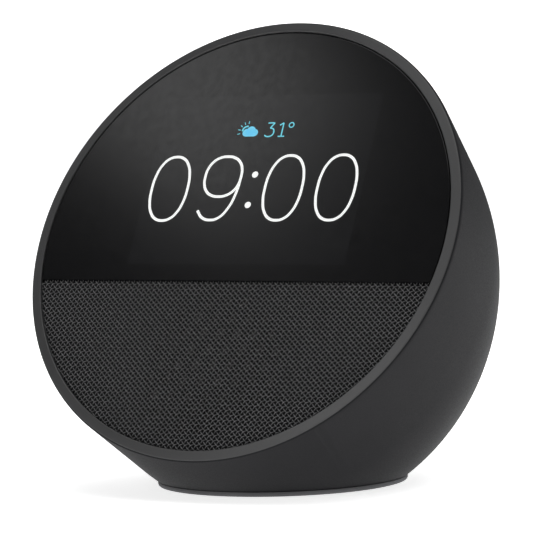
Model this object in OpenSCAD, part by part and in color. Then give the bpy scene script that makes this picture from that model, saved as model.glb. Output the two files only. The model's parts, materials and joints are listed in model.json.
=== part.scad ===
// Round smart display: an ovoid body with a tilted circular face.
// Millimetres. Z is up, the face looks along -Y, and the origin is the centre
// of the foot on the table.

/* [Body] */
// outer diameter of the face rim
face_d = 113.3; // [100:0.1:130]
// greatest width of the ovoid behind the face
body_w = 105.6; // [90:0.1:120]
// height of the whole ovoid before its foot is cut off
body_h = 114; // [100:0.5:130]
// height of the ovoid's middle above the table
body_mid_z = 48.3; // [40:0.1:60]
// lean of the face back from upright, in degrees
face_tilt = 28.7; // [0:0.1:45]
// height of the face centre above the table
face_z = 59.5; // [50:0.1:70]
// distance of the face centre in front of the foot centre
face_y = 16.4; // [10:0.1:25]
// thickness of the moulded shell
wall = 2; // [1.5:0.1:3]
// smoothness of the ovoid
body_facets = 60; // [36:4:72]

/* [Face] */
// width of the flat ring round the glass
bezel_w = 2; // [1.5:0.1:4]
// dark gap between the ring and the glass
glass_gap = 0.35; // [0.2:0.05:0.8]
// height of the glass's straight lower edge above the face centre
chord_y = -11.5; // [-20:0.1:0]
// thickness of the cover glass
glass_t = 1.1; // [0.7:0.1:2]
// display panel width
lcd_w = 62; // [50:0.5:70]
// display panel height
lcd_h = 46; // [36:0.5:52]
// pitch of the holes in the grille plate
grille_pitch = 4.6; // [3.5:0.1:7]
// diameter of the holes in the grille plate
grille_hole_d = 2.8; // [1.5:0.1:4]

/* [Speaker] */
// outer diameter of the loudspeaker flange
speaker_d = 42; // [36:0.5:44]
// height of the loudspeaker's axis above the face centre
speaker_y = -32.3; // [-34:0.1:-28]
// outer diameter of the voice coil
coil_d = 10.6; // [8:0.1:14]

/* [Buttons] */
// diameter of each button cap
button_d = 9; // [7:0.1:11]
// angle between neighbouring buttons round the body's crown
button_step = 16; // [14:0.5:20]
// how far a cap stands proud of the body
button_proud = 0.5; // [0:0.1:1]

/* [Power inlet] */
// height of the inlet's axis above the table
inlet_z = 14.2; // [12:0.1:18]
// bore of the inlet barrel
inlet_bore_d = 5.7; // [5.5:0.05:6.5]
// diameter of the inlet's centre pin
inlet_pin_d = 2; // [1.6:0.05:2.5]

/* [Foot] */
// outer diameter of the rubber foot
foot_d = 58.8; // [50:0.2:60]
// height of the rubber foot
foot_h = 1.2; // [0.8:0.1:2]
// thickness of the steel ballast disc
ballast_t = 4.6; // [2:0.1:6]

/* [Hidden] */
$fn = 96;
eps = 0.01;
seam = 0.3;
face_r = face_d / 2;
bezel_r = face_r - 0.45;
glass_r = bezel_r - bezel_w - glass_gap;
mouth_r = face_r - wall;
lip_r = face_r - 0.7;
// face levels, measured along the face normal: 0 is the ring's front
rim_z = -0.35;
bezel_t = 1.2;
bezel_lip = 0.2;
glass_front = -0.25;
glass_back = glass_front - glass_t;
touch_t = 0.3;
touch_back = glass_back - touch_t;
frame_front = -2;
frame_back = -5;
frame_back_r = mouth_r - 1.15;
carrier_relief_z = frame_back + 0.95;
post_ring_r = 50.9;
lcd_y = chord_y + 3.25 + lcd_h / 2;
bracket_ear = 2.2;
lcd_t = 1.4;
lcd_back = touch_back - lcd_t;
light_t = 1.8;
light_back = lcd_back - light_t;
bracket_t = 0.6;
bracket_back = light_back - bracket_t;
// loudspeaker levels
gasket_t = 0.4;
basket_front = frame_back - gasket_t;
basket_t = 1;
basket_back = basket_front - basket_t;
plate_front = -14;
plate_t = 1.2;
magnet_t = 3.5;
yoke_t = 2;
motor_r = 10.5;
pole_r = 4.4;
former_r = 4.7;
cap_seat_r = former_r + 0.4;
coil_r = coil_d / 2;
coil_low = -17;
gap_r = coil_r + 0.3;
cone_r = 14.5;
roll_r = 17.2;
speaker_box_r = speaker_d / 2;
speaker_box_back = -27.5;
box_wall = 1.5;
box_floor_z = foot_h + 2.2 + ballast_t + 0.4;
screw_ear_x = 24;
screw_ear_y = 7;
// electronics levels
board_w = 78;
board_low = -8;
board_high = 30;
board_front = -15;
board_t = 1.2;
board_back = board_front - board_t;
chip_t = 1.2;
pad_t = 0.8;
spreader_t = 1.2;
board_post_x = 36;
board_post_y = [2, 24];
// crown of the body, where the buttons sit
crown_tilt = 35.5;
crown_r = 55;
crown_hub = [0, -11.96, 57.68];
cap_low = -2.7;
flange_t = 0.9;
stem_low = -5;
switch_top = -5.9;
switch_t = 2.5;
strip_top = switch_top - switch_t;
strip_t = 0.4;
carrier_top = strip_top - strip_t;
carrier_t = 2;
arm_x = 10.8;
ear_x = 13.6;
mic_x = 8.6;
plunger_r = 1.3;
plunger_low = -7.2;
// base levels
plate_z = foot_h;
plate_r = 27.7;
recess_z = plate_z + 2.2;
flange_r = 31;
flange_z = recess_z + 2.2;
base_screw_r = 25.3;
jack_face_y = 37;
jack_l = 12;
jack_w = 9;
pin_root_r = 1.3;
power_z = 8.4;
power_t = 1.2;
power_post = [7, 27];
// the four places of the frame's and the base's screws
corner_angles = [45 : 90 : 315];
// small screws, the holes that clear them, and the posts that take them
shank_r = 1;
hole_r = 1.05;
head_r = 1.9;
head_t = 1.2;
clear_r = 1.2;
post_r = 2.4;
wire_r = 0.6;

// ---- frames ----

// local x right, y up the face, z out of the face
module face() {
    translate([0, -face_y, face_z])
        rotate([90 - face_tilt, 0, 0])
            children();
}

// a button's own frame: z out of the body, 0 at its skin; i is -1, 0 or 1
module at_button(i) {
    translate(crown_hub)
        rotate([-crown_tilt, 0, 0])
            rotate([0, button_step * i, 0])
                translate([0, 0, crown_r])
                    children();
}

// the loudspeaker's frame, on its axis at the face level z
module speaker(z = 0) {
    face() translate([0, speaker_y, z]) children();
}

// ---- shared shapes ----

module tube(r_out, r_in, h) {
    difference() {
        cylinder(r = r_out, h = h);
        translate([0, 0, -1]) cylinder(r = r_in, h = h + 2);
    }
}

// the part of a disc above (or below) the straight edge of the glass
module segment(r, edge, above) {
    intersection() {
        circle(r = r);
        translate([-face_d, above ? edge : edge - face_d]) square([2 * face_d, face_d]);
    }
}

module slab(w, low, high, z, t) {
    translate([-w / 2, low, z - t]) cube([w, high - low, t]);
}

// the ovoid blended into the face rim, shrunk by inset
module ovoid(inset, facets) {
    hull() {
        face()
            translate([0, 0, rim_z - 1])
                cylinder(r = face_r - inset, h = 1, $fn = 2 * facets);
        difference() {
            translate([0, 0, body_mid_z])
                scale([1, 1, (body_h / 2 - inset) / (body_w / 2 - inset)])
                    sphere(r = body_w / 2 - inset, $fn = facets);
            face()
                translate([-face_d, -face_d, rim_z - 1])
                    cube(2 * face_d);
        }
    }
}

// pan-head screw, head at the origin, shank along -z
module screw(length) {
    cylinder(r = head_r, h = head_t);
    translate([0, 0, -length]) cylinder(r = shank_r, h = length + eps);
}

module wire(from, to) {
    run = to - from;
    length = norm(run);
    turn = atan2(run[1], run[0]);
    lean = acos(run[2] / length);
    translate(from)
        rotate([0, lean, turn])
            cylinder(r = wire_r, h = length, $fn = 24);
}

// a wire with round elbows through every point of a path
module wire_path(points) {
    for (i = [0 : len(points) - 2]) wire(points[i], points[i + 1]);
    for (i = [1 : len(points) - 2])
        translate(points[i]) sphere(r = 1.05 * wire_r, $fn = 24);
}

function on_face(x, y, z) = [x,
    -face_y + y * sin(face_tilt) - z * cos(face_tilt),
    face_z + y * cos(face_tilt) + z * sin(face_tilt)];

// ---- body ----

module button_holes() {
    for (i = [-1 : 1])
        at_button(i) {
            translate([0, 0, -4]) cylinder(r = button_d / 2 + seam, h = 8);
            if (i != 0) translate([i * mic_x, 0, -6]) cylinder(r = 0.6, h = 12);
        }
}

// two posts inside the crown that the button carrier is screwed to
module carrier_posts() {
    for (i = [-1, 1])
        at_button(i)
            translate([i * ear_x, 0, carrier_top])
                cylinder(r = post_r, h = -2.8 - carrier_top);
}

module frame_post_sites() {
    for (a = corner_angles) rotate(a) translate([post_ring_r, 0, 0]) children();
}

// four posts just inside the mouth, each tied to the wall by a rib
module frame_posts() {
    frame_post_sites()
        translate([0, 0, frame_back - 7.5])
            cylinder(r = 3, h = 7.5);
    for (a = corner_angles)
        rotate(a)
            translate([post_ring_r, -1, frame_back - 7.5])
                cube([(a < 180 ? 54.2 : 55.9) - post_ring_r, 2, 7.5]);
}

module rear_shell() color([0.20, 0.20, 0.21]) {
    difference() {
        union() {
            difference() {
                ovoid(0, body_facets);
                ovoid(wall, body_facets - 4);
                // open mouth
                face() translate([0, 0, -2.5]) cylinder(r = mouth_r + 0.2, h = 10);
                // rebate that the ring drops into
                face() translate([0, 0, -bezel_t]) cylinder(r = lip_r, h = 5);
                // pocket for the inlet's nose
                translate([-jack_w / 2 - 0.3, 20, power_z - 0.3])
                    cube([jack_w + 0.6, jack_face_y - 20 + 0.3, 2 * (inlet_z - power_z) + 0.6]);
            }
            face() frame_posts();
            carrier_posts();
            // ledge that carries the base plate
            translate([0, 0, recess_z]) cylinder(r = flange_r, h = flange_z - recess_z);
            for (s = [-1, 1])
                translate([s * power_post[0], power_post[1], flange_z - eps])
                    cylinder(r = post_r, h = power_z - flange_z + eps);
        }
        // flat underside and the base plate's recess
        translate([-face_d, -face_d, -face_d]) cube([2 * face_d, 2 * face_d, face_d + foot_h + seam]);
        cylinder(r = plate_r + 0.3, h = recess_z);
        cylinder(r = 23, h = flange_z + 1);
        for (a = corner_angles)
            rotate(a) translate([base_screw_r, 0, 0]) cylinder(r = hole_r, h = flange_z + 1);
        for (s = [-1, 1])
            translate([s * power_post[0], power_post[1], recess_z - 1])
                cylinder(r = hole_r, h = power_z);
        face() frame_post_sites() translate([0, 0, frame_back - 6.5]) cylinder(r = hole_r, h = 10);
        button_holes();
        for (i = [-1, 1])
            at_button(i)
                translate([i * ear_x, 0, carrier_top - 1])
                    cylinder(r = hole_r, h = 4.6);
        translate([0, jack_face_y - 1, inlet_z]) rotate([-90, 0, 0]) cylinder(r = 4.6, h = 20);
    }
}

module bezel_ring() color([0.24, 0.24, 0.25]) {
    face()
        rotate_extrude()
            polygon([[glass_r + glass_gap, 0], [bezel_r, 0], [bezel_r, -bezel_lip],
                [lip_r - 0.15, -bezel_lip], [lip_r - 0.15, -bezel_t],
                [glass_r + glass_gap, -bezel_t]]);
}

module front_frame() color([0.12, 0.12, 0.13]) {
    face()
        difference() {
            union() {
                translate([0, 0, frame_back]) cylinder(r1 = frame_back_r, r2 = mouth_r - seam, h = frame_front - frame_back);
                // posts that carry the main board
                for (x = [-board_post_x, board_post_x])
                    for (y = board_post_y)
                        translate([x, y, board_front]) cylinder(r = 2.6, h = frame_back - board_front + eps);
            }
            // display opening
            translate([-lcd_w / 2 - 0.5, lcd_y - lcd_h / 2 - 0.5, frame_back - 1])
                cube([lcd_w + 1, lcd_h + 1, 6]);
            // loudspeaker opening
            translate([0, speaker_y, frame_back - 1]) cylinder(r = 18.5, h = 6);
            // relief for the ends of the button carrier
            slab(60, 38, 45.4, carrier_relief_z, 5);
            // pocket for the light sensor
            translate([0, 46, frame_back - 1]) cylinder(r = 2.2, h = 6);
            // board screw holes
            for (x = [-board_post_x, board_post_x])
                for (y = board_post_y)
                    translate([x, y, board_front - 1]) cylinder(r = hole_r, h = 8);
            // frame screw clearance and head pockets
            frame_post_sites() {
                translate([0, 0, frame_back - 1]) cylinder(r = 1.3, h = 6);
                translate([0, 0, frame_back + 1.2]) cylinder(r = 2.2, h = 6);
            }
            // holes for the loudspeaker screws
            for (x = [-screw_ear_x, screw_ear_x])
                for (y = [-screw_ear_y, screw_ear_y])
                    translate([x, speaker_y + y, frame_back - 1]) cylinder(r = hole_r, h = 3.2);
        }
}

// ---- display stack ----

module display_glass() color([0.03, 0.03, 0.04]) {
    face()
        translate([0, 0, glass_back])
            linear_extrude(glass_t)
                segment(glass_r, chord_y + 0.1, true);
}

module touch_sensor() color([0.10, 0.12, 0.12]) {
    face()
        translate([0, 0, touch_back])
            linear_extrude(touch_t)
                segment(glass_r - 0.4, chord_y + 0.5, true);
}

module display_adhesive() color([0.08, 0.08, 0.08]) {
    face()
        translate([0, 0, frame_front])
            linear_extrude(touch_back - frame_front)
                difference() {
                    segment(glass_r - 0.6, chord_y + 0.6, true);
                    translate([-lcd_w / 2 - 1, chord_y]) square([lcd_w + 2, lcd_h + 4.5]);
                    for (x = [-1, 1])
                        translate([x, 1] * post_ring_r / sqrt(2)) circle(r = 2.2);
                    translate([0, 46]) circle(r = 2.4);
                }
}

module lcd_panel() color([0.05, 0.06, 0.09]) {
    face() slab(lcd_w, lcd_y - lcd_h / 2, lcd_y + lcd_h / 2, touch_back, lcd_t);
}

module lcd_backlight() color([0.85, 0.86, 0.88]) {
    face() slab(lcd_w, lcd_y - lcd_h / 2, lcd_y + lcd_h / 2, lcd_back, light_t);
}

// stamped tray behind the display, with ears on the frame
module lcd_bracket() color([0.62, 0.63, 0.65]) {
    face()
        difference() {
            union() {
                slab(lcd_w, lcd_y - lcd_h / 2, lcd_y + lcd_h / 2, light_back, bracket_t);
                slab(lcd_w + 2 * bracket_ear, lcd_y - 14, lcd_y + 14, frame_back, bracket_t);
            }
            slab(16, chord_y, chord_y + 6, light_back + 1, 4);
        }
}

module lcd_flex() color([0.72, 0.45, 0.16]) {
    face() {
        slab(14, chord_y + 3, chord_y + 5, light_back, 0.25);
        translate([-7, chord_y + 4.75, board_front + 1.6])
            cube([14, 0.25, light_back - board_front - 1.6]);
    }
}

module light_sensor() color([0.16, 0.17, 0.18]) {
    face() translate([-1.4, 45, touch_back - 1.4]) cube([2.8, 2, 1.4]);
}

// ---- grille ----

module grille_fabric() color([0.18, 0.18, 0.19]) {
    face()
        translate([0, 0, -1.2])
            linear_extrude(0.9)
                segment(glass_r, chord_y - 0.2, false);
}

module grille_plate() color([0.09, 0.09, 0.10]) {
    rows = ceil(17 / grille_pitch);
    face()
        translate([0, 0, frame_front])
            linear_extrude(-1.2 - frame_front)
                difference() {
                    segment(glass_r - 0.3, chord_y - 0.3, false);
                    for (row = [-rows : rows])
                        for (column = [-rows : rows]) {
                            x = (column + (row % 2 == 0 ? 0 : 0.5)) * grille_pitch;
                            y = row * grille_pitch * sqrt(3) / 2;
                            if (norm([x, y]) < 16.6)
                                translate([x, speaker_y + y]) circle(d = grille_hole_d, $fn = 24);
                        }
                }
}

// ---- loudspeaker ----

module speaker_gasket() color([0.14, 0.14, 0.14]) {
    speaker(basket_front) tube(speaker_d / 2, 19.1, gasket_t);
}

module speaker_basket() color([0.16, 0.16, 0.17]) {
    speaker()
        difference() {
            union() {
                translate([0, 0, basket_back]) cylinder(r = speaker_d / 2, h = basket_t);
                translate([-27, -10, basket_back]) cube([54, 20, basket_t]);
                rotate_extrude()
                    polygon([[17.9, basket_back + eps], [19.2, basket_back + eps], [13, -12.6],
                        [13, plate_front], [10, plate_front], [10, plate_front + 0.8],
                        [11.8, plate_front + 0.8], [11.8, -12.4]]);
            }
            translate([0, 0, basket_back - eps]) cylinder(r = 17.8, h = 3);
            for (x = [-screw_ear_x, screw_ear_x])
                for (y = [-screw_ear_y, screw_ear_y])
                    translate([x, y, basket_back - 1]) cylinder(r = 1.3, h = 3);
            // windows that let the back of the cone breathe
            for (a = [0 : 60 : 300])
                rotate(a) translate([11, -2.6, -11.4]) cube([9, 5.2, 3.2]);
        }
}

module speaker_top_plate() color([0.55, 0.56, 0.58]) {
    speaker(plate_front - plate_t) tube(motor_r, gap_r, plate_t);
}

module speaker_magnet() color([0.24, 0.24, 0.26]) {
    speaker(plate_front - plate_t - magnet_t) tube(motor_r, 6.4, magnet_t);
}

module speaker_yoke() color([0.50, 0.51, 0.53]) {
    back = plate_front - plate_t - magnet_t - yoke_t;
    speaker(back) {
        cylinder(r = motor_r, h = yoke_t);
        cylinder(r = pole_r, h = plate_front - back + 0.4);
    }
}

module voice_coil() color([0.72, 0.42, 0.20]) {
    speaker(coil_low) tube(coil_r, former_r, -11.2 - coil_low);
}

module speaker_cone() color([0.10, 0.10, 0.11]) {
    speaker()
        rotate_extrude()
            polygon([[former_r, -11.2], [coil_r + 0.2, -11.2], [cone_r, -6.9],
                [cone_r, -6.5], [cap_seat_r, -10.7], [former_r, -10.7]]);
}

module dust_cap() color([0.08, 0.08, 0.09]) {
    speaker(-10.7)
        intersection() {
            translate([0, 0, -6.4 + 2.2]) difference() {
                sphere(r = 6.4, $fn = 64);
                sphere(r = 6, $fn = 64);
            }
            cylinder(r = cap_seat_r, h = 4);
        }
}

module speaker_surround() color([0.06, 0.06, 0.07]) {
    speaker()
        rotate_extrude() {
            translate([cone_r - 0.6, -6.5]) square([1.1, 0.3]);
            translate([roll_r, basket_front]) square([1.7, 0.3]);
            difference() {
                translate([(cone_r + roll_r) / 2 + 0.1, -5.95]) circle(r = 1.7, $fn = 48);
                translate([(cone_r + roll_r) / 2 + 0.1, -5.95]) circle(r = 1.35, $fn = 48);
                translate([0, -9]) square([30, 2.75]);
            }
        }
}

module speaker_spider() color([0.66, 0.52, 0.28]) {
    speaker(-12.3) tube(11.7, coil_r + 0.1, 0.3);
}

module speaker_box() color([0.13, 0.13, 0.14]) {
    difference() {
        intersection() {
            speaker(speaker_box_back) cylinder(r = speaker_box_r, h = basket_back - speaker_box_back);
            translate([-face_d, -face_d, box_floor_z]) cube(2 * face_d);
        }
        intersection() {
            speaker(speaker_box_back + box_wall) cylinder(r = speaker_box_r - box_wall, h = 30);
            translate([-face_d, -face_d, box_floor_z + box_wall]) cube(2 * face_d);
        }
    }
}

module speaker_screws() color([0.55, 0.55, 0.57]) {
    for (x = [-screw_ear_x, screw_ear_x])
        for (y = [-screw_ear_y, screw_ear_y])
            speaker(basket_back) translate([x, y, 0]) rotate([180, 0, 0]) screw(3);
}

module speaker_lead() color([0.60, 0.08, 0.07]) {
    for (x = [-1, 1])
        wire_path([on_face(x, speaker_y + speaker_box_r + 0.1, -22),
            on_face(x, speaker_y + speaker_box_r + 2.6, -22),
            on_face(x, -4.2, board_back - 5.6),
            on_face(x, -4.2, board_back - 3)]);
}

// ---- electronics ----

module main_board() color([0.05, 0.22, 0.14]) {
    face()
        difference() {
            slab(board_w, board_low, board_high, board_front, board_t);
            for (x = [-board_post_x, board_post_x])
                for (y = board_post_y)
                    translate([x, y, board_back - 1]) cylinder(r = clear_r, h = board_t + 2);
        }
}

module processor() color([0.07, 0.07, 0.08]) {
    face() translate([-6.5, 8, board_front]) cube([13, 13, chip_t]);
}

module memory_chips() color([0.09, 0.09, 0.10]) {
    face()
        for (x = [12, 23])
            translate([x, 8, board_front]) cube([8, 12, 1]);
}

module thermal_pad() color([0.62, 0.66, 0.72]) {
    face() translate([-6.5, 8, board_front + chip_t]) cube([13, 13, pad_t]);
}

module heat_spreader() color([0.74, 0.75, 0.77]) {
    face() slab(60, 0, 30, board_front + chip_t + pad_t + spreader_t, spreader_t);
}

// stamped can over the radio, open towards the board
module rf_shield() color([0.70, 0.71, 0.73]) {
    face()
        difference() {
            slab(30, 6, 26, board_back, 2.4);
            slab(29.2, 6.4, 25.6, board_back + 1, 3);
        }
}

module board_connectors() color([0.86, 0.84, 0.78]) {
    face() {
        // display connector, on the front
        translate([-8, chord_y + 4, board_front]) cube([16, 1.8, 1.6]);
        // loudspeaker and power connectors, on the back
        translate([-3, -6.6, board_back - 3]) cube([6, 4.6, 3]);
        translate([11, -6.6, board_back - 3]) cube([8, 4.6, 3]);
    }
}

module board_screws() color([0.55, 0.55, 0.57]) {
    face()
        for (x = [-board_post_x, board_post_x])
            for (y = board_post_y)
                translate([x, y, board_back]) rotate([180, 0, 0]) screw(6);
}

module antennas() color([0.80, 0.58, 0.24]) {
    face()
        for (s = [-1, 1])
            translate([s * 47 - 3, -4, frame_back - 0.4]) cube([6, 24, 0.4]);
}

module frame_screws() color([0.55, 0.55, 0.57]) {
    face()
        frame_post_sites()
            translate([0, 0, frame_back + 1.2])
                screw(7);
}

// ---- buttons ----

// a point of the crown's mid-section, given in button i's own frame
function crown_point(i, x, z) = [
    (crown_r + z) * sin(button_step * i) + x * cos(button_step * i),
    (crown_r + z) * cos(button_step * i) - x * sin(button_step * i)];

// half the width of the middle flat at depth z
function fold(z) = (crown_r + z) * tan(button_step / 2);

// a band of three flats, one under each button
module crown_band(top, t, half_y, end_x) {
    low = top - t;
    translate(crown_hub)
        rotate([90 - crown_tilt, 0, 0])
            translate([0, 0, -half_y])
                linear_extrude(2 * half_y)
                    polygon([crown_point(-1, -end_x, top), crown_point(0, -fold(top), top),
                        crown_point(0, fold(top), top), crown_point(1, end_x, top),
                        crown_point(1, end_x, low), crown_point(0, fold(low), low),
                        crown_point(0, -fold(low), low), crown_point(-1, -end_x, low)]);
}

module button_carrier() color([0.12, 0.12, 0.13]) {
    difference() {
        crown_band(carrier_top, carrier_t, 5, ear_x + 3);
        for (i = [-1, 1])
            at_button(i)
                translate([i * ear_x, 0, carrier_top - carrier_t - 1])
                    cylinder(r = clear_r, h = carrier_t + 2);
    }
}

module button_strip() color([0.70, 0.44, 0.16]) {
    crown_band(strip_top, strip_t, 4.2, arm_x);
}

module switch_bodies() color([0.20, 0.20, 0.21]) {
    for (i = [-1 : 1])
        at_button(i)
            difference() {
                translate([-2.6, -2.6, strip_top]) cube([5.2, 5.2, switch_t]);
                translate([0, 0, strip_top + 0.4]) cylinder(r = plunger_r + 0.05, h = 4, $fn = 48);
            }
}

module button_cap(i) {
    at_button(i) {
        rotate_extrude()
            polygon([[0, button_proud], [button_d / 2 - 0.3, button_proud],
                [button_d / 2, button_proud - 0.3], [button_d / 2, cap_low],
                [button_d / 2 + 1, cap_low], [button_d / 2 + 1, cap_low - flange_t],
                [1.5, cap_low - flange_t], [1.5, stem_low], [0, stem_low]]);
    }
}

module plunger(i) {
    at_button(i)
        translate([0, 0, plunger_low])
            cylinder(r = plunger_r, h = stem_low - plunger_low, $fn = 48);
}

module volume_down_cap() color([0.21, 0.21, 0.22]) button_cap(-1);

module mic_mute_cap() color([0.21, 0.21, 0.22]) button_cap(0);

module volume_up_cap() color([0.21, 0.21, 0.22]) button_cap(1);

module volume_down_plunger() color([0.75, 0.75, 0.73]) plunger(-1);

module mic_mute_plunger() color([0.75, 0.75, 0.73]) plunger(0);

module volume_up_plunger() color([0.75, 0.75, 0.73]) plunger(1);

module microphones() color([0.66, 0.67, 0.69]) {
    for (i = [-1, 1])
        at_button(i)
            translate([i * mic_x - 1.4, -1.8, strip_top])
                cube([2.8, 3.6, 1.1]);
}

module carrier_screws() color([0.55, 0.55, 0.57]) {
    for (i = [-1, 1])
        at_button(i)
            translate([i * ear_x, 0, carrier_top - carrier_t])
                rotate([180, 0, 0])
                    screw(5);
}

// ---- power inlet ----

module power_board() color([0.05, 0.22, 0.14]) {
    difference() {
        translate([-9.5, 14, power_z]) cube([19, 19, power_t]);
        for (s = [-1, 1])
            translate([s * power_post[0], power_post[1], power_z - 1])
                cylinder(r = clear_r, h = power_t + 2);
    }
}

module jack_body() color([0.06, 0.06, 0.06]) {
    difference() {
        translate([-jack_w / 2, jack_face_y - jack_l, power_z + power_t])
            cube([jack_w, jack_l, 2 * (inlet_z - power_z - power_t)]);
        translate([0, jack_face_y - jack_l + 2, inlet_z])
            rotate([-90, 0, 0])
                cylinder(d = inlet_bore_d, h = jack_l);
        translate([0, jack_face_y - jack_l - 1, inlet_z])
            rotate([-90, 0, 0])
                cylinder(r = pin_root_r, h = 4);
    }
}

module jack_pin() color([0.76, 0.70, 0.45]) {
    translate([0, jack_face_y - jack_l - 0.8, inlet_z])
        rotate([-90, 0, 0]) {
            cylinder(r = pin_root_r, h = 2.8);
            cylinder(d = inlet_pin_d, h = jack_l - 0.4);
        }
}

// solder tails of the inlet, on the board
module jack_contacts() color([0.74, 0.74, 0.72]) {
    for (x = [-2.5, 0, 2.5])
        translate([x - 0.6, jack_face_y - jack_l - 2.4, power_z + power_t])
            cube([1.2, 1.4, x == 0 ? 3 : 2]);
}

module power_screws() color([0.55, 0.55, 0.57]) {
    for (s = [-1, 1])
        translate([s * power_post[0], power_post[1], power_z + power_t]) screw(5);
}

module power_lead() color([0.62, 0.62, 0.60]) {
    for (x = [-1.3, 1.3])
        wire_path([[x, 17, power_z + power_t], [x, 17, 30],
            on_face(15 + x, -4.2, board_back - 10), on_face(15 + x, -4.2, board_back - 3)]);
}

// ---- base ----

module base_plate() color([0.15, 0.15, 0.16]) {
    difference() {
        translate([0, 0, plate_z]) cylinder(r = plate_r, h = recess_z - plate_z);
        for (a = corner_angles)
            rotate(a)
                translate([base_screw_r, 0, plate_z - 1]) {
                    cylinder(r = clear_r, h = 6);
                    cylinder(r = head_r + 0.2, h = 1 + head_t);
                }
    }
}

module ballast_disc() color([0.48, 0.49, 0.51]) {
    translate([0, 0, recess_z]) cylinder(r = 21.5, h = ballast_t);
}

module foot_pad() color([0.26, 0.26, 0.27]) {
    cylinder(r = foot_d / 2, h = foot_h);
}

module base_screws() color([0.55, 0.55, 0.57]) {
    for (a = corner_angles)
        rotate(a)
            translate([base_screw_r, 0, plate_z + head_t])
                rotate([180, 0, 0])
                    screw(3);
}

rear_shell();
bezel_ring();
front_frame();
display_glass();
touch_sensor();
display_adhesive();
lcd_panel();
lcd_backlight();
lcd_bracket();
lcd_flex();
light_sensor();
grille_fabric();
grille_plate();
speaker_gasket();
speaker_basket();
speaker_magnet();
speaker_top_plate();
speaker_yoke();
speaker_cone();
dust_cap();
voice_coil();
speaker_surround();
speaker_spider();
speaker_box();
speaker_screws();
speaker_lead();
main_board();
processor();
memory_chips();
thermal_pad();
heat_spreader();
rf_shield();
board_connectors();
board_screws();
antennas();
frame_screws();
button_carrier();
button_strip();
switch_bodies();
volume_down_cap();
mic_mute_cap();
volume_up_cap();
volume_down_plunger();
mic_mute_plunger();
volume_up_plunger();
microphones();
carrier_screws();
power_board();
jack_body();
jack_pin();
jack_contacts();
power_screws();
power_lead();
base_plate();
ballast_disc();
foot_pad();
base_screws();
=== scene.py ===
# %% [markdown]
# # A round smart display
# An egg-shaped plastic housing carries a tilted round face: dark glass with a
# clock above, woven mesh over a loudspeaker below, a thin ring round both,
# three press keys on the crown and a flat round foot. The engineering model
# comes in as a fixed frame, and the visible skins are modelled around it.

# %% Load the frame
import json
import math
import bpy
from mathutils import Matrix, Vector


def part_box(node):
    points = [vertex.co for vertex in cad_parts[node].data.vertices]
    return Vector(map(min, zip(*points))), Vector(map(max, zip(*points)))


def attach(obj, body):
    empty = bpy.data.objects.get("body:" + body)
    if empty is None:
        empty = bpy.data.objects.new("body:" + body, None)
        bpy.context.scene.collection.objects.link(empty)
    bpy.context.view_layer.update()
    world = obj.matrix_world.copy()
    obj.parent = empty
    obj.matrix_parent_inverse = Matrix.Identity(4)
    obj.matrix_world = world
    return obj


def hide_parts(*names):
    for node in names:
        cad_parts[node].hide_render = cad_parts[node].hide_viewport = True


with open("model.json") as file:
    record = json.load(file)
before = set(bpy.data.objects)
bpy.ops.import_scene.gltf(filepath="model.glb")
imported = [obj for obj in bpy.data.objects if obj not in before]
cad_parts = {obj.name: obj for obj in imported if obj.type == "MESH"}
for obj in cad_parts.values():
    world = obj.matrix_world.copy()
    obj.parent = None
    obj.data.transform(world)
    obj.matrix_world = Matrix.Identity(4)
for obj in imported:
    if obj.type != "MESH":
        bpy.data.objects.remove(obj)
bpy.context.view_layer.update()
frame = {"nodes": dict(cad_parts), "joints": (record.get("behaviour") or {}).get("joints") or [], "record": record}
record = frame["record"]
MM = 0.001

# %% [markdown]
# ## Places on the object
# The loudspeaker's joint slides straight out of the face, so its axis is the
# face's normal. Each key slides straight in, so its axis turned round is the
# crown's normal there. Every piece is modelled flat at the origin, where the
# numbers are easy, and then set on its place with one of these matrices.

# %% Face and crown frames
joints = {j["name"]: j for j in frame["joints"]}
face_out = Vector(joints["diaphragm_stroke"]["axis"]).normalized()
face_up = face_out.cross(Vector((1, 0, 0)))
face_centre = Vector((0, -16.4, 59.5)) * MM


def axes(right, up, out, centre):
    turn = Matrix((right, up, out)).transposed().to_4x4()
    return Matrix.Translation(centre) @ turn


FACE = axes(Vector((1, 0, 0)), face_up, face_out, face_centre)


def crown(key):
    out = -Vector(joints[key + "_press"]["axis"]).normalized()
    low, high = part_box(key + "_plunger")
    back = Vector((0, 1, 0)) - out * out.y
    right = back.normalized().cross(out)
    return axes(right, back.normalized(), out, (low + high) / 2 + out * 6.1 * MM)


CROWN = {key: crown(key) for key in ("volume_down", "mic_mute", "volume_up")}
print("face normal", tuple(round(v, 4) for v in face_out))

# %% [markdown]
# ## The camera
# A long lens from the front right, a little above the table, so that the
# round face turns into a slightly narrow circle.

# %% Camera
camera_data = bpy.data.cameras.new("camera")
camera_data.lens = 226.35
camera_data.sensor_width = 36
camera = bpy.data.objects.new("camera", camera_data)
bpy.context.scene.collection.objects.link(camera)
camera.matrix_world = axes(Vector((0.86209, 0.50586, -0.03019)), Vector((-0.00573, 0.0693, 0.99758)),
                           Vector((0.50673, -0.85983, 0.06264)), (0.41566, -0.70617, 0.10068))
bpy.context.scene.camera = camera
print("camera", tuple(round(v, 3) for v in camera.location), "lens", camera_data.lens)

# %% [markdown]
# ## Studio
# A seamless white sweep under a big soft box, with weaker boxes at both sides,
# in front and behind. The paper glows a little, so that it stays white where
# the box falls off. The glass mirrors the upper left of the room, so a single
# soft card there paints the pale gradient on it.

# %% Floor, backdrop and lights
scene = bpy.context.scene
scene.view_settings.view_transform = "Standard"
scene.view_settings.look = "None"


def deselect():
    if bpy.context.object and bpy.context.object.mode != "OBJECT":
        bpy.ops.object.mode_set(mode="OBJECT")
    bpy.ops.object.select_all(action="DESELECT")


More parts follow.
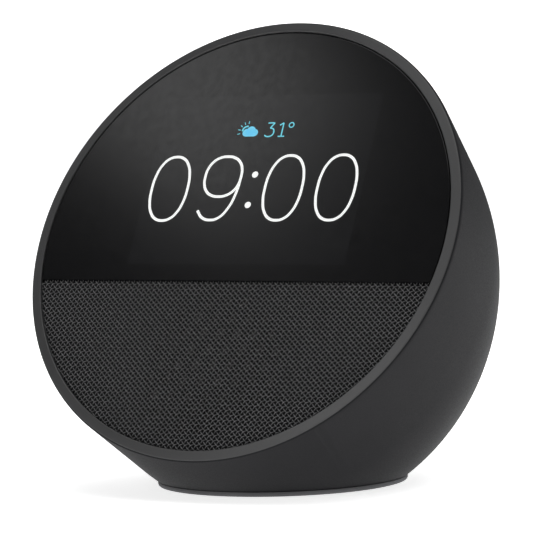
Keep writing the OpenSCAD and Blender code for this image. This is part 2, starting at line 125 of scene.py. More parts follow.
def stage_material(name, colour, glow):
    material = bpy.data.materials.new(name)
    material.use_nodes = True
    shader = material.node_tree.nodes["Principled BSDF"]
    shader.inputs["Base Color"].default_value = (*colour, 1)
    shader.inputs["Roughness"].default_value = 0.9
    shader.inputs["Specular IOR Level"].default_value = 0.1
    shader.inputs["Emission Color"].default_value = (1, 1, 1, 1)
    shader.inputs["Emission Strength"].default_value = glow
    return material


def stage_plane(name, size, location, rotation, material):
    deselect()
    bpy.ops.mesh.primitive_plane_add(size=size, location=location, rotation=rotation)
    plane = bpy.context.object
    plane.name = name
    plane.data.materials.append(material)
    return plane


PAPER_SIZE = 12
stage_plane("floor", PAPER_SIZE, (0, 0, 0), (0, 0, 0), stage_material("floor_paper", (0.95, 0.95, 0.95), 0.72))
backdrop = stage_plane("backdrop", PAPER_SIZE, (0, 5.5, 2), (math.pi / 2, 0, 0),
                       stage_material("backdrop_paper", (0.6, 0.6, 0.6), 1.1))
backdrop.visible_glossy = False


def soft_box(name, size, power, place, look_at):
    data = bpy.data.lights.new(name, "AREA")
    data.shape = "RECTANGLE"
    data.size, data.size_y = size
    data.energy = power
    lamp = bpy.data.objects.new(name, data)
    lamp.location = place
    lamp.rotation_euler = (Vector(look_at) - Vector(place)).to_track_quat("-Z", "Y").to_euler()
    scene.collection.objects.link(lamp)
    return lamp


# name: width and height, watts, place, and the point it looks at
LIGHTS = {
    "top_box": ((1.6, 1.6), 14, (0.25, 0.1, 1.6), (0, 0, 0)),
    "right_box": ((0.7, 0.9), 1.9, (1.3, -0.1, 0.5), (0, 0, 0.06)),
    "left_box": ((0.6, 0.8), 1.0, (-1.2, 0.3, 0.6), (0, -0.02, 0.06)),
    "front_box": ((0.55, 0.4), 2.4, (-0.2, -1.05, 0.64), (0, 0, 0.05)),
    "back_box": ((0.9, 0.7), 1.4, (0.5, 1.3, 0.8), (0, 0, 0.05)),
    "glass_card": ((0.15, 0.11), 0.08, (-0.565, -0.46, 0.82), (-0.005, 0, 0.09)),
}
for name, settings in LIGHTS.items():
    soft_box(name, *settings)
world = bpy.data.worlds.new("studio")
scene.world = world
world.use_nodes = True
world.node_tree.nodes["Background"].inputs["Color"].default_value = (1, 1, 1, 1)
world.node_tree.nodes["Background"].inputs["Strength"].default_value = 0.07
print("lights:", list(LIGHTS))

# %% [markdown]
# ## Finishes
# Every finish is built from noise in the object's own metres: one noise for
# slow tone changes, one fine one for grain that moves the roughness and tips
# the surface. A plain colour would look like wax.

# %% The basic finish
def link(tree, a, out, b, into):
    tree.links.new(a.outputs[out], b.inputs[into])


def noise(tree, coordinates, scale, detail=4, stretch=None):
    source = coordinates
    output = "Object"
    if stretch:
        mapping = tree.nodes.new("ShaderNodeMapping")
        mapping.inputs["Scale"].default_value = stretch
        link(tree, coordinates, "Object", mapping, "Vector")
        source, output = mapping, "Vector"
    texture = tree.nodes.new("ShaderNodeTexNoise")
    texture.inputs["Scale"].default_value = scale
    texture.inputs["Detail"].default_value = detail
    link(tree, source, output, texture, "Vector")
    return texture


def ramp(tree, texture, output, low, high, at=(0.3, 0.7)):
    node = tree.nodes.new("ShaderNodeValToRGB")
    for stop, place, value in zip(node.color_ramp.elements, at, (low, high)):
        stop.position = place
        stop.color = (*value, 1) if hasattr(value, "__len__") else (value, value, value, 1)
    link(tree, texture, output, node, "Fac")
    return node


def finish_material(name, colour, rough, metallic=0.0, grain=2500, tone=0.12, tone_scale=60, rough_spread=0.08,
                    bump=0.15, depth=0.03, stretch=None, **sockets):
    """tone is the share by which the colour drifts, and depth is how deep the grain goes, in millimetres."""
    material = bpy.data.materials.new(name)
    material.use_nodes = True
    tree = material.node_tree
    shader = tree.nodes["Principled BSDF"]
    place = tree.nodes.new("ShaderNodeTexCoord")
    slow = noise(tree, place, tone_scale, 5)
    dark = [c * (1 - tone) for c in colour]
    light = [min(1, c * (1 + tone)) for c in colour]
    link(tree, ramp(tree, slow, "Fac", dark, light), "Color", shader, "Base Color")
    fine = noise(tree, place, grain, 3, stretch)
    worn = ramp(tree, fine, "Fac", max(0, rough - rough_spread), min(1, rough + rough_spread))
    link(tree, worn, "Color", shader, "Roughness")
    tip = tree.nodes.new("ShaderNodeBump")
    tip.inputs["Strength"].default_value = bump
    tip.inputs["Distance"].default_value = depth * MM
    link(tree, fine, "Fac", tip, "Height")
    link(tree, tip, "Normal", shader, "Normal")
    shader.inputs["Metallic"].default_value = metallic
    for socket, value in sockets.items():
        shader.inputs[socket.replace("_", " ")].default_value = value
    return material


BASIC = {
    "shell_plastic": dict(colour=(0.0140, 0.0140, 0.0153), rough=0.56, grain=3200, tone=0.10, bump=0.25, depth=0.03,
                          Specular_IOR_Level=0.1),
    "ring_plastic": dict(colour=(0.036, 0.036, 0.0372), rough=0.46, grain=3600, tone=0.08, bump=0.18, depth=0.02,
                         Specular_IOR_Level=0.75),
    "inner_plastic": dict(colour=(0.007, 0.007, 0.008), rough=0.6, grain=1500, tone=0.15, bump=0.25, depth=0.05,
                          Specular_IOR_Level=0.2),
    "touch_film": dict(colour=(0.02, 0.024, 0.024), rough=0.12, grain=900, tone=0.1, bump=0.04),
    "foam_tape": dict(colour=(0.02, 0.02, 0.02), rough=0.95, grain=2200, tone=0.3, bump=0.8, depth=0.12),
    "lcd": dict(colour=(0.012, 0.014, 0.018), rough=0.14, grain=5000, tone=0.1, bump=0.03),
    "light_guide": dict(colour=(0.82, 0.83, 0.85), rough=0.35, grain=4000, tone=0.03, bump=0.1),
    "flex_circuit": dict(colour=(0.45, 0.20, 0.04), rough=0.3, grain=2600, tone=0.18, tone_scale=400, bump=0.15),
    "dark_package": dict(colour=(0.02, 0.02, 0.022), rough=0.5, grain=5200, tone=0.2, tone_scale=900, bump=0.3),
    "ferrite": dict(colour=(0.045, 0.045, 0.05), rough=0.7, grain=4200, tone=0.25, tone_scale=300, bump=0.6,
                    depth=0.05),
    "soft_rubber": dict(colour=(0.014, 0.014, 0.015), rough=0.62, grain=3000, tone=0.2, bump=0.2),
    "wire_red": dict(colour=(0.36, 0.015, 0.015), rough=0.4, grain=2000, tone=0.1, tone_scale=500, bump=0.1),
    "wire_grey": dict(colour=(0.26, 0.26, 0.27), rough=0.42, grain=2000, tone=0.1, tone_scale=500, bump=0.1),
    "thermal_pad": dict(colour=(0.32, 0.37, 0.46), rough=0.85, grain=2600, tone=0.12, tone_scale=500, bump=0.5,
                        depth=0.06),
    "connector_plastic": dict(colour=(0.66, 0.61, 0.50), rough=0.45, grain=2800, tone=0.06, bump=0.12),
    "key_plastic": dict(colour=(0.020, 0.020, 0.0215), rough=0.48, grain=3600, tone=0.08, bump=0.2, depth=0.02),
    "foot_rubber": dict(colour=(0.11, 0.11, 0.115), rough=0.78, grain=2400, tone=0.15, bump=0.45, depth=0.06),
}
finishes = {name: finish_material(name, **settings) for name, settings in BASIC.items()}
print("basic finishes:", len(finishes))

# %% [markdown]
# ## Metals
# Rolled and turned metal has fine scratches in one direction: the same noise,
# squeezed along one axis. Copper wire adds tight turns round its axis.

# %% Metal finishes
METALS = {
    "steel": dict(colour=(0.56, 0.57, 0.59), rough=0.32, stretch=(0.06, 1, 1), grain=4200),
    "aluminium": dict(colour=(0.72, 0.73, 0.75), rough=0.36, stretch=(0.05, 1, 1), grain=3600),
    "copper": dict(colour=(0.66, 0.30, 0.13), rough=0.3, stretch=(1, 1, 9), grain=2200),
    "contact_metal": dict(colour=(0.72, 0.66, 0.44), rough=0.25, stretch=(1, 0.08, 1), grain=4000),
    "ballast_steel": dict(colour=(0.33, 0.34, 0.36), rough=0.42, stretch=(1, 0.06, 1), grain=3000),
}
for name, settings in METALS.items():
    finishes[name] = finish_material(name, metallic=1.0, tone=0.08, rough_spread=0.14, bump=0.35, depth=0.02,
                                     **settings)
print("metals:", list(METALS))

# %% [markdown]
# ## Paper, cloth and boards
# The cone is pressed pulp with short fibres, the spider is stiff woven cloth,
# and a circuit board is green lacquer over a maze of copper traces. Cells over
# stretched noise, a fine checker and a square cell pattern stand for the
# three. Each one multiplies the basic finish, which keeps its own grain.

# %% Fibre, cloth and board finishes
def parts_of(material):
    """The node tree, the shader and the object coordinates of a basic finish."""
    tree = material.node_tree
    return tree, tree.nodes["Principled BSDF"], next(n for n in tree.nodes if n.type == "TEX_COORD")


def multiply_colour(tree, shader, shade):
    """Puts a second colour over the one that the shader already gets."""
    mix = tree.nodes.new("ShaderNodeMix")
    mix.data_type = "RGBA"
    mix.blend_type = "MULTIPLY"
    mix.inputs["Factor"].default_value = 1
    tree.links.new(shader.inputs["Base Color"].links[0].from_socket, mix.inputs["A"])
    tree.links.new(shade.outputs["Color"], mix.inputs["B"])
    tree.links.new(mix.outputs["Result"], shader.inputs["Base Color"])


def add_pattern(material, texture, settings, output, low, high, at, depth):
    """Multiplies a finish's colour by a pattern, and lets the pattern tip the surface."""
    tree, shader, place = parts_of(material)
    pattern = tree.nodes.new(texture)
    for socket, value in settings.items():
        if hasattr(pattern, socket):
            setattr(pattern, socket, value)
        else:
            pattern.inputs[socket].default_value = value
    link(tree, place, "Object", pattern, "Vector")
    multiply_colour(tree, shader, ramp(tree, pattern, output, low, high, at))
    tip = tree.nodes.new("ShaderNodeBump")
    tip.inputs["Strength"].default_value = 0.5
    tip.inputs["Distance"].default_value = depth * MM
    link(tree, pattern, output, tip, "Height")
    tree.links.new(shader.inputs["Normal"].links[0].from_socket, tip.inputs["Normal"])
    link(tree, tip, "Normal", shader, "Normal")
    return material


finishes["cone_paper"] = add_pattern(
    finish_material("cone_paper", (0.03, 0.03, 0.032), 0.8, grain=1800, tone=0.3, tone_scale=700, bump=0.5, depth=0.08,
                    stretch=(1, 0.2, 1)),
    "ShaderNodeTexVoronoi", {"Scale": 900}, "Distance", 0.7, 1.0, (0.1, 0.6), 0.03)
finishes["spider_cloth"] = add_pattern(
    finish_material("spider_cloth", (0.48, 0.31, 0.10), 0.75, grain=2600, tone=0.15, bump=0.5, depth=0.05),
    "ShaderNodeTexChecker", {"Scale": 1400}, "Fac", 0.65, 1.0, (0.2, 0.8), 0.04)
finishes["circuit_board"] = add_pattern(
    finish_material("circuit_board", (0.012, 0.085, 0.04), 0.34, grain=3000, tone=0.12, bump=0.1, depth=0.02),
    "ShaderNodeTexVoronoi", {"Scale": 330, "distance": "MANHATTAN", "feature": "F1"}, "Distance",
    0.55, 1.15, (0.28, 0.36), 0.03)
print("finishes:", len(finishes))

# %% [markdown]
# ## Cover glass and mesh yarn
# The glass is printed black behind, so from outside it is a deep black under
# a polished skin. A trace of haze keeps mirrored lights soft. Yarn is dark
# polyester: rough, with a faint sheen and fibres finer than the weave itself.
# Where a yarn dives under another one, shade is painted into its colour, and
# a highlight onto its crests, so its colour follows the height above the plate.

# %% Glass and yarn finishes
GLASS_SKIN = dict(colour=(0.0025, 0.0025, 0.003), rough=0.155, grain=500, tone=0.1, tone_scale=30,
                  rough_spread=0.015, bump=0.01, depth=0.01)
finishes["cover_glass"] = finish_material("cover_glass", **GLASS_SKIN)


def painted_crest_shade(material, low, high, valley, crest):
    """Paints shade into the valleys of a weave and a highlight onto its crests, by height along the face's normal."""
    tree, shader, place = parts_of(material)
    height = tree.nodes.new("ShaderNodeVectorMath")
    height.operation = "DOT_PRODUCT"
    height.inputs[1].default_value = face_out
    link(tree, place, "Object", height, "Vector")
    share = tree.nodes.new("ShaderNodeMapRange")
    base = FACE.translation.dot(face_out)
    share.inputs["From Min"].default_value = base + valley * MM
    share.inputs["From Max"].default_value = base + crest * MM
    link(tree, height, "Value", share, "Value")
    multiply_colour(tree, shader, ramp(tree, share, "Result", low, high, (0.0, 1.0)))
    return material


# painted shade in the weave's valleys and a painted highlight on its crests
finishes["mesh_fabric"] = painted_crest_shade(
    finish_material("mesh_fabric", (0.132, 0.132, 0.136), 0.52, grain=7000, tone=0.5, tone_scale=1500,
                    bump=0.7, depth=0.05, Sheen_Weight=0.08, Sheen_Roughness=0.4),
    0.05, 1.0, -0.90, -0.52)


def lit(name, colour, strength):
    """A finish that glows in its own colour, with the slight unevenness of small lit dots."""
    material = finish_material(name, colour, 0.4, tone=0.03, bump=0.02)
    tree, shader, place = parts_of(material)
    glow = ramp(tree, noise(tree, place, 2600, 1), "Fac", [0.96 * c for c in colour], colour)
    link(tree, glow, "Color", shader, "Emission Color")
    shader.inputs["Emission Strength"].default_value = strength
    return material


white_light = lit("lit_white", (0.78, 0.79, 0.78), 0.5)
blue_light = lit("lit_blue", (0.125, 0.45, 0.62), 0.6)
teal_light = lit("lit_teal", (0.12, 0.47, 0.56), 0.60)
print("glass, yarn and lit finishes made")

# %% [markdown]
# ## Carried-over parts
# The inner parts come in with their shape finished and only need a surface.
# The record names a slot for each of them, so one loop finishes them all.

# %% Give every carried-over part its finish
for row in record["subparts"]:
    part = frame["nodes"][row["node"]]
    if not part.material_slots:
        part.data.materials.append(None)
    for place in part.material_slots:
        place.material = finishes[row["material_slot"]]
print("finished", len(record["subparts"]), "carried-over parts")

# %% [markdown]
# ## Turning on a lathe
# Most pieces here are turned: ring, keys and foot. A circle is the first edge
# of the profile, and each next point is the last edge extruded along the axis
# and scaled to its radius, just as it would be drawn by hand. A spun or
# screwed profile would do as well, but it leaves a seam to be merged.

# %% Lathe helper
def edit(piece, kind="VERT"):
    bpy.context.view_layer.objects.active = piece
    piece.select_set(True)
    bpy.ops.object.mode_set(mode="EDIT")
    bpy.ops.mesh.select_mode(type=kind)


def settle(piece, matrix, smooth=35):
    """Leaves edit mode, sets the piece on its place, and smooths all but its sharp edges."""
    if piece.mode == "EDIT":
        bpy.ops.object.mode_set(mode="OBJECT")
    deselect()
    piece.select_set(True)
    bpy.context.view_layer.objects.active = piece
    piece.matrix_world = matrix
    bpy.ops.object.transform_apply(location=True, rotation=True, scale=True)
    bpy.ops.object.shade_smooth_by_angle(angle=math.radians(smooth))
    return piece


def turned(name, profile, matrix, segments=160, closed=False):
    """profile is (radius, height) points in millimetres, from the first edge to the last."""
    deselect()
    radius, height = profile[0]
    bpy.ops.mesh.primitive_circle_add(vertices=segments, radius=radius * MM, location=(0, 0, height * MM),
                                      fill_type="NOTHING" if closed else "NGON")
    piece = bpy.context.object
    piece.name = name
    bpy.ops.object.transform_apply(location=True, rotation=False, scale=False)
    edit(piece, "EDGE")
    bpy.ops.mesh.select_all(action="SELECT")
    for next_radius, next_height in profile[1:]:
        bpy.ops.mesh.extrude_edges_move(TRANSFORM_OT_translate={"value": (0, 0, (next_height - height) * MM)})
        scale = next_radius / radius
        bpy.ops.transform.resize(value=(scale, scale, 1), center_override=(0, 0, next_height * MM))
        radius, height = next_radius, next_height
    if not closed:
        bpy.ops.mesh.edge_face_add()
    bpy.ops.mesh.select_all(action="SELECT")
    bpy.ops.mesh.remove_doubles(threshold=1e-7)
    bpy.ops.mesh.normals_make_consistent(inside=False)
    return settle(piece, matrix)


def hand_over(piece, body, slot, *nodes, material=None):
    """Finish, body and the CAD node that the piece stands for."""
    piece.data.materials.clear()
    piece.data.materials.append(material or finishes[slot])
    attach(piece, body)
    if nodes:
        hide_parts(*nodes)
    print(piece.name, len(piece.data.polygons), "faces")
    return piece


print("lathe ready")

# %% [markdown]
# ## The housing
# Moulded in one piece: an egg blended tangentially into the round rim of the
# face. An egg and a circle wrapped in one skin is exactly what a convex hull
# is, so a fine sphere is stretched, its front is cut off behind the face, the
# rim's circles are added in its place, and the hull is pulled over them.

# %% Housing: the outer skin
RIM, RIM_LEVEL, WALL = 56.65, -0.52, 2.0
EGG_ROUND, EGG_TALL, EGG_CENTRE = 52.8, 57.0, 48.3
RIM_ROUNDING = ((0.30, 0), (0.12, 0.08), (0.03, 0.2), (0, 0.35), (0, 1))
deselect()
bpy.ops.mesh.primitive_uv_sphere_add(segments=200, ring_count=120, radius=EGG_ROUND * MM, location=(0, 0, 0))
housing = bpy.context.object
housing.name = "housing_shell"
edit(housing)
bpy.ops.mesh.select_all(action="SELECT")
bpy.ops.transform.resize(value=(1, 1, EGG_TALL / EGG_ROUND), center_override=(0, 0, 0))
bpy.ops.transform.translate(value=(0, 0, EGG_CENTRE * MM))
bpy.ops.mesh.bisect(plane_co=FACE @ Vector((0, 0, (RIM_LEVEL - 1) * MM)), plane_no=face_out, clear_outer=True)
face_turn = FACE.to_euler()
for inset, drop in RIM_ROUNDING:
    bpy.ops.mesh.primitive_circle_add(vertices=240, radius=(RIM - inset) * MM, rotation=face_turn,
                                      location=FACE @ Vector((0, 0, (RIM_LEVEL - drop) * MM)))
bpy.ops.mesh.select_all(action="SELECT")
bpy.ops.mesh.convex_hull(use_existing_faces=False, make_holes=False, join_triangles=False)
bpy.ops.object.mode_set(mode="OBJECT")
print("hull:", len(housing.data.vertices), "points")

# %% [markdown]
# The hull closes the mouth with a flat disc. That disc goes, the bottom is cut
# level above the table, and the skin gets its wall thickness inwards.

# %% Housing: mouth, floor and wall
SHELL_BOTTOM = 1.32
edit(housing, "FACE")
bpy.ops.mesh.select_all(action="DESELECT")
bpy.ops.object.mode_set(mode="OBJECT")
for face in housing.data.polygons:
    face.select = face.normal.dot(face_out) > 0.999
edit(housing, "FACE")
bpy.ops.mesh.delete(type="FACE")
bpy.ops.mesh.select_all(action="SELECT")
bpy.ops.mesh.bisect(plane_co=(0, 0, SHELL_BOTTOM * MM), plane_no=(0, 0, -1), clear_outer=True, use_fill=True)
bpy.ops.mesh.select_all(action="SELECT")
bpy.ops.mesh.normals_make_consistent(inside=False)
bpy.ops.object.mode_set(mode="OBJECT")


def apply(piece, kind, **settings):
    deselect()
    piece.select_set(True)
    bpy.context.view_layer.objects.active = piece
    modifier = piece.modifiers.new(kind.lower(), kind)
    for name, value in settings.items():
        setattr(modifier, name, value)
    bpy.ops.object.modifier_apply(modifier=modifier.name)
    return piece


apply(housing, "SOLIDIFY", thickness=WALL * MM, offset=-1, use_even_offset=False)
print("wall:", len(housing.data.polygons), "faces")

# %% [markdown]
# Holes are cut with plain cylinders: three for the keys, two for the
# microphones, one for the power inlet, one for the base plate, and a shallow
# step in the rim that the face ring drops into.

# %% Housing: holes
def drill(piece, radius, low, high, matrix, sides=96):
    """Cuts a round hole between two heights along the matrix's own z, in millimetres."""
    deselect()
    bpy.ops.mesh.primitive_cylinder_add(vertices=sides, radius=radius * MM, depth=(high - low) * MM,
                                        location=(0, 0, (low + high) / 2 * MM))
    tool = bpy.context.object
    settle(tool, matrix @ tool.matrix_world)
    apply(piece, "BOOLEAN", operation="DIFFERENCE", solver="EXACT", object=tool)
    bpy.data.objects.remove(tool)


KEY_HOLE, MIC_HOLE, MIC_OFFSET, INLET_HOLE, BASE_HOLE, RING_SEAT, SEAT_LEVEL = 4.8, 0.6, 8.6, 4.6, 28.0, 55.95, -1.2
ON_TABLE = Matrix.Identity(4)
INLET = axes(Vector((1, 0, 0)), Vector((0, 0, -1)), Vector((0, 1, 0)), Vector((0, 36, 14.2)) * MM)
for key, side in (("volume_down", -1), ("mic_mute", 0), ("volume_up", 1)):
    drill(housing, KEY_HOLE, -4, 8, CROWN[key])
    if side:
        drill(housing, MIC_HOLE, -6, 6, CROWN[key] @ Matrix.Translation((side * MIC_OFFSET * MM, 0, 0)), 24)
drill(housing, INLET_HOLE, 0, 20, INLET)
drill(housing, BASE_HOLE, -3, 6, ON_TABLE, 160)
drill(housing, RING_SEAT, SEAT_LEVEL, 5, FACE, 240)
settle(housing, ON_TABLE, 30)
hand_over(housing, "housing", "shell_plastic", "rear_shell")

# %% [markdown]
# ## The face ring
# A ring pressed into the step of the rim. Its front slopes gently outwards
# and back, from a rounded inner edge that frames the glass to the rim of the
# housing, where a fine dark joint is left all round.

# %% Face ring
RING_PROFILE = [(54.0, -1.2), (54.0, -0.22), (54.04, -0.08), (54.14, -0.01), (54.26, -0.02), (54.40, -0.05),
                (55.84, -0.36), (56.12, -0.42), (56.25, -0.46), (56.33, -0.55), (56.33, -0.60), (55.80, -0.66),
                (55.80, -1.2), (54.0, -1.2)]
ring = turned("face_ring", RING_PROFILE, FACE, 240, closed=True)
hand_over(ring, "housing", "ring_plastic", "bezel_ring")

# %% [markdown]
# ## The cover glass
# A disc with its lower part cut off straight, polished flat, with a narrow
# ground edge. It is a filled circle, bisected, extruded to its thickness and
# bevelled round the front.

# %% Cover glass
GLASS_RADIUS, GLASS_CHORD, GLASS_THICK, GLASS_LEVEL, GLASS_BEVEL = 53.65, -11.4, 1.1, -0.25, 0.08
deselect()
bpy.ops.mesh.primitive_circle_add(vertices=240, radius=GLASS_RADIUS * MM, fill_type="NGON")
glass = bpy.context.object
glass.name = "cover_glass"
edit(glass)
bpy.ops.mesh.select_all(action="SELECT")
bpy.ops.mesh.bisect(plane_co=(0, GLASS_CHORD * MM, 0), plane_no=(0, -1, 0), clear_outer=True)
bpy.ops.mesh.select_all(action="SELECT")
bpy.ops.mesh.extrude_region_move(TRANSFORM_OT_translate={"value": (0, 0, -GLASS_THICK * MM)})
bpy.ops.mesh.select_all(action="SELECT")
bpy.ops.mesh.normals_make_consistent(inside=False)
bpy.ops.transform.translate(value=(0, 0, GLASS_LEVEL * MM))
settle(glass, ON_TABLE)
apply(glass, "BEVEL", width=GLASS_BEVEL * MM, segments=2, limit_method="ANGLE", angle_limit=math.radians(50))
settle(glass, FACE)
hand_over(glass, "housing", "cover_glass", "display_glass")

# %% [markdown]
# ## Lit figures
# On the real object small lit dots behind the glass form the figures. Here they
# are thin strokes with round ends, laid on the front of the glass. A stroke is
# a curve with a round bevel, pressed almost flat once it is a mesh. A text
# object would be quicker, but its letters have the wrong weight and slant.

# %% Stroke helper
GLOW_LEVEL, BLOB_THICK = -0.235, 0.015


def stroke(points, width, material, name, closed=False, thick=0.03):
    """A smooth line through points in face millimetres."""
    data = bpy.data.curves.new(name, "CURVE")
    data.dimensions = "3D"
    data.bevel_depth = width / 2 * MM
    data.bevel_resolution = 3
    data.use_fill_caps = True
    data.resolution_u = 10
    line = data.splines.new("BEZIER")
    line.bezier_points.add(len(points) - 1)
    for knot, (x, y) in zip(line.bezier_points, points):
        knot.co = (x * MM, y * MM, 0)
        knot.handle_left_type = knot.handle_right_type = "AUTO"
    line.use_cyclic_u = closed
    piece = bpy.data.objects.new(name, data)
    scene.collection.objects.link(piece)
    deselect()
    piece.select_set(True)
    bpy.context.view_layer.objects.active = piece
    bpy.ops.object.convert(target="MESH")
    piece = bpy.context.object
    edit(piece)
    bpy.ops.mesh.select_all(action="SELECT")
    bpy.ops.transform.resize(value=(1, 1, thick / width), center_override=(0, 0, 0))
    bpy.ops.transform.translate(value=(0, 0, GLOW_LEVEL * MM))
    settle(piece, FACE)
    piece.data.materials.append(material)
    return piece


def oval(cx, cy, half_w, half_h, count=12, square=2.25):
    """Points of a slightly squared oval."""
    found = []
    for k in range(count):
        turn = 2 * math.pi * k / count
        c, s = math.cos(turn), math.sin(turn)
        found.append((cx + half_w * math.copysign(abs(c) ** (2 / square), c),
                      cy + half_h * math.copysign(abs(s) ** (2 / square), s)))
    return found


def blob(cx, cy, radius, name, material):
    """A thin round spot."""
    deselect()
    bpy.ops.mesh.primitive_circle_add(vertices=40, radius=radius * MM, fill_type="NGON",
                                      location=(cx * MM, cy * MM, 0))
    piece = bpy.context.object
    piece.name = name
    bpy.ops.object.transform_apply(location=True)
    edit(piece)
    bpy.ops.mesh.select_all(action="SELECT")
    bpy.ops.mesh.extrude_region_move(TRANSFORM_OT_translate={"value": (0, 0, BLOB_THICK * MM)})
    bpy.ops.mesh.select_all(action="SELECT")
    bpy.ops.mesh.normals_make_consistent(inside=False)
    bpy.ops.transform.translate(value=(0, 0, GLOW_LEVEL * MM))
    settle(piece, FACE)
    piece.data.materials.append(material)
    return piece


def join(pieces, name):
    deselect()
    for piece in pieces:
        piece.select_set(True)
    bpy.context.view_layer.objects.active = pieces[0]
    bpy.ops.object.join()
    joined = bpy.context.object
    joined.name = name
    return joined


def show(piece):
    """A lit piece belongs to the display, and moves with the housing."""
    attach(piece, "housing")
    print(piece.name, len(piece.data.polygons), "faces")


print("pen ready, strokes lie at", GLOW_LEVEL, "mm from the face")

# %% [markdown]
# ## The lit area
# A display that shows black still leaks a little light, so its area is a
# shade paler than the glass round it. A very thin plate with the skin of the
# glass and a trace of glow shows just that edge.

# %% The lit area
AREA_WIDTH, AREA_HEIGHT, AREA_MIDDLE, AREA_THICK, AREA_LEVEL = 59, 44.2, 14.9, 0.01, -0.254
deselect()
bpy.ops.mesh.primitive_plane_add(size=1, location=(0, AREA_MIDDLE * MM, 0))
panel = bpy.context.object
panel.name = "display_active_area"
bpy.ops.object.transform_apply(location=True)
edit(panel)
bpy.ops.mesh.select_all(action="SELECT")
bpy.ops.transform.resize(value=(AREA_WIDTH * MM, AREA_HEIGHT * MM, 1), center_override=(0, AREA_MIDDLE * MM, 0))
bpy.ops.mesh.extrude_region_move(TRANSFORM_OT_translate={"value": (0, 0, AREA_THICK * MM)})
bpy.ops.mesh.select_all(action="SELECT")
bpy.ops.mesh.normals_make_consistent(inside=False)
bpy.ops.transform.translate(value=(0, 0, AREA_LEVEL * MM))
settle(panel, FACE)
panel.data.materials.append(finish_material("lit_panel", **GLASS_SKIN, Emission_Color=(0.9, 0.93, 1, 1),
                                            Emission_Strength=0.0027))
show(panel)

# %% [markdown]
# ## The time
# Zero is a tall, slightly squared oval, nine is a round bowl with a tail, and
# the colon is two spots. All strokes are closed tubes of one width, so they
# may cross where the tail leaves the bowl.

# %% The time
STROKE, COLON_X, COLON_SPOT = 0.69, -0.1, 0.82
NINE_TAIL = [(-3.8, 15.6), (-4.1, 11.4), (-5.4, 7.2), (-7.4, 4.8), (-9.6, 4.25), (-11.9, 4.9), (-13.6, 6.75)]
figures = [stroke(oval(cx, 12.55, 5.0, 8.4, 16), STROKE, white_light, "zero", True) for cx in (-22.87, 8.45, 22.6)]
figures.append(stroke(oval(-8.75, 15.62, 4.95, 5.25, 16), STROKE, white_light, "bowl", True))
figures.append(stroke(NINE_TAIL, STROKE, white_light, "tail"))
figures += [blob(COLON_X, cy, COLON_SPOT, "dot", white_light) for cy in (8.14, 16.05)]
show(join(figures, "clock_figures"))

# %% [markdown]
# ## The weather sign
# A plain cloud in front of a sun: three spots and a bar make the cloud, an arc
# is the edge of the sun, and five short strokes are its rays.

# %% The weather sign
CLOUD_PUFFS = ((-5.35, 27.15, 1.0), (-4.15, 27.55, 1.25), (-3.1, 27.1, 0.95))
SUN_X, SUN_Y, RAY_START, RAY_END = -5.1, 27.5, 2.0, 2.7
weather = [blob(*puff, "cloud", blue_light) for puff in CLOUD_PUFFS]
weather.append(stroke([(-5.35, 26.6), (-3.1, 26.6)], 0.95, blue_light, "cloud"))
weather.append(stroke([(-6.55, 27.55), (-6.35, 28.3), (-5.75, 28.75), (-5.1, 28.85)], 0.42, teal_light, "sun"))
for turn in (92, 118, 144, 170, 196):
    c, s = math.cos(math.radians(turn)), math.sin(math.radians(turn))
    ray = [(SUN_X + reach * c, SUN_Y + reach * s) for reach in (RAY_START, RAY_END)]
    weather.append(stroke(ray, 0.2, teal_light, "ray"))
show(join(weather, "weather_sign"))

# %% [markdown]
# ## The temperature
# Two small digits and a degree sign. The three has a flat top, a slanted neck
# and a round belly, and the one has a flag and a short foot.

# %% The temperature
SMALL_STROKE, FINE_STROKE = 0.34, 0.3
THREE = ([(0.15, 29.6), (1.1, 29.65), (1.95, 29.6)],
         [(1.95, 29.6), (1.45, 28.95), (0.95, 28.25)],
         [(0.95, 28.25), (1.75, 28.1), (2.15, 27.35), (1.9, 26.45), (1.1, 26.05), (0.2, 26.15), (-0.2, 26.45)])
ONE = ([(3.45, 29.0), (4.4, 29.6)], [(4.4, 29.6), (4.4, 26.05)])
warmth = [stroke(line, SMALL_STROKE, teal_light, "three") for line in THREE]
warmth += [stroke(line, SMALL_STROKE, teal_light, "one") for line in ONE]
warmth.append(stroke([(3.5, 26.05), (5.3, 26.05)], FINE_STROKE, teal_light, "one"))
warmth.append(stroke(oval(6.6, 29.0, 0.62, 0.62, 8, 2), FINE_STROKE, teal_light, "degree", True))
show(join(warmth, "temperature_figures"))

# %% [markdown]
# ## The mesh over the loudspeaker
# An open plain weave laid on the bias: two sets of yarns lean 41 degrees to
# the right and to the left, each going over one neighbour and under the next.
# Bump alone would leave no holes, so every yarn is a real strand, cut where it
# meets the edge. Hundreds of strands repeat, so each has only four sides.

# %% Mesh fabric
YARN_PITCH, YARN_WIDTH, YARN_THICK, YARN_WAVE = 0.948, 0.225, 0.27, 0.27
YARN_LEAN = math.radians(40.8)
FABRIC_RADIUS, FABRIC_EDGE, FABRIC_LEVEL = 53.85, -11.45, -0.72
LEAN_X, LEAN_Y = math.cos(YARN_LEAN), math.sin(YARN_LEAN)
RIGHT_SET = (Vector((LEAN_X, LEAN_Y)), Vector((-LEAN_Y, LEAN_X)))
LEFT_SET = (Vector((-LEAN_X, LEAN_Y)), Vector((LEAN_Y, LEAN_X)))


def strand_span(offset, along, across):
    """Where a strand enters and leaves the cut shape: a circle below a straight edge."""
    half = FABRIC_RADIUS ** 2 - offset ** 2
    if half <= 0:
        return None
    low, high = -math.sqrt(half), math.sqrt(half)
    high = min(high, (FABRIC_EDGE - offset * across.y) / along.y)
    return (low, high) if high - low > 0.4 * YARN_PITCH else None


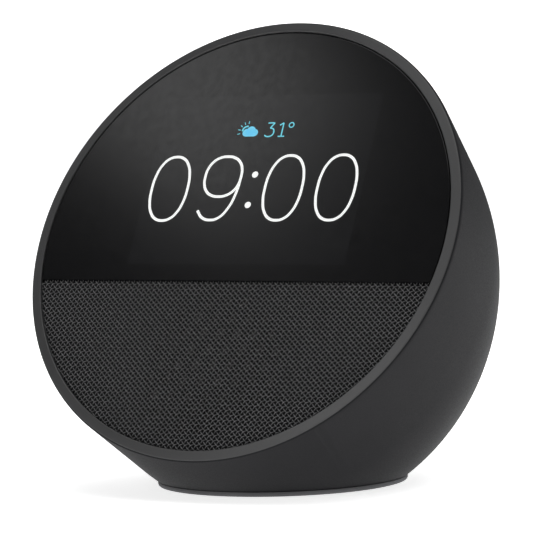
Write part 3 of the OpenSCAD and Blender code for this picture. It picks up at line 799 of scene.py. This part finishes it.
def strand(points, sides, index, lift, own, other):
    """One yarn of its own set, waving over and under the yarns of the other set."""
    along, across = own
    offset = index * YARN_PITCH
    span = strand_span(offset, along, across)
    if not span:
        return
    rate, start = along.dot(other[1]) / YARN_PITCH, offset * across.dot(other[1]) / YARN_PITCH
    first_half, last_half = sorted((t * rate + start) * 2 for t in span)
    halves = range(math.ceil(first_half + 0.3), math.floor(last_half - 0.3) + 1)
    stops = sorted([span[0], span[1]] + [(k / 2 - start) / rate for k in halves])
    first = len(points)
    for t in stops:
        level = FABRIC_LEVEL + lift * (-1) ** index * YARN_WAVE * math.cos(math.pi * (t * rate + start))
        for side, up in ((-YARN_WIDTH / 2, 0), (0, -YARN_THICK / 2), (YARN_WIDTH / 2, 0), (0, YARN_THICK / 2)):
            place = along * t + across * (offset + side)
            points.append(FACE @ Vector((place.x * MM, place.y * MM, (level + up) * MM)))
    for k in range(len(stops) - 1):
        for s in range(4):
            a, b = first + 4 * k + s, first + 4 * k + (s + 1) % 4
            sides.append((a, b, b + 4, a + 4))
    last = first + 4 * (len(stops) - 1)
    sides.append((first + 3, first + 2, first + 1, first))
    sides.append((last, last + 1, last + 2, last + 3))


points, sides = [], []
widest = math.ceil(FABRIC_RADIUS / YARN_PITCH)
for index in range(-widest, widest + 1):
    strand(points, sides, index, 1, RIGHT_SET, LEFT_SET)
    strand(points, sides, index, -1, LEFT_SET, RIGHT_SET)
weave = bpy.data.meshes.new("speaker_mesh")
weave.from_pydata(points, [], sides)
fabric = bpy.data.objects.new("speaker_mesh", weave)
scene.collection.objects.link(fabric)
edit(fabric)
bpy.ops.mesh.select_all(action="SELECT")
bpy.ops.mesh.normals_make_consistent(inside=False)
settle(fabric, ON_TABLE, 60)
hand_over(fabric, "housing", "mesh_fabric", "grille_fabric")

# %% [markdown]
# ## Keys
# Each key is turned like a button: a shallow dish for the finger, a rounded
# shoulder, a skirt with a flange that stops it falling out, and a stem. Its
# mark is felt as well as seen, so it is made of low bars with soft edges.

# %% Keys
KEY_PROFILE = [(3.0, 0.36), (3.6, 0.42), (4.0, 0.50), (4.25, 0.48), (4.42, 0.36), (4.5, 0.15), (4.5, -2.7),
               (5.5, -2.7), (5.5, -3.6), (1.5, -3.6), (1.5, -5.0)]
# each bar: middle x and y, width and length
MARKS = {
    "volume_down": [(0, 0, 2.6, 0.5)],
    "mic_mute": [(0, 0.5, 0.9, 1.7), (0, -0.9, 0.3, 0.7), (0, -1.3, 1.4, 0.3)],
    "volume_up": [(0, 0, 2.6, 0.5), (0, 0, 0.5, 2.6)],
}
MARK_LEVEL, MARK_THICK = 0.40, 0.16


def bar(matrix, x, y, width, length):
    """One low bar of a key's mark."""
    deselect()
    bpy.ops.mesh.primitive_cube_add(size=1, location=(x * MM, y * MM, MARK_LEVEL * MM),
                                    scale=(width * MM, length * MM, MARK_THICK * MM))
    piece = bpy.context.object
    bpy.ops.object.transform_apply(location=True, rotation=False, scale=True)
    apply(piece, "BEVEL", width=0.05 * MM, segments=2)
    return settle(piece, matrix)


for key in CROWN:
    cap = turned(key + "_key", KEY_PROFILE, CROWN[key], 96)
    cap = join([cap] + [bar(CROWN[key], *mark) for mark in MARKS[key]], key + "_key")
    hand_over(cap, key + "_key", "key_plastic", key + "_cap")

# %% [markdown]
# ## The foot
# A soft pad with rounded edges and a shallow ring pressed into its underside,
# so that it grips the table at its rim.

# %% Foot
FOOT_PROFILE = [(24.5, 0.25), (25.0, 0.0), (29.1, 0.0), (29.5, 0.1), (29.72, 0.35), (29.78, 0.8), (29.7, 1.1),
                (29.4, 1.2)]
foot = turned("foot", FOOT_PROFILE, ON_TABLE, 200)
hand_over(foot, "housing", "foot_rubber", "foot_pad")
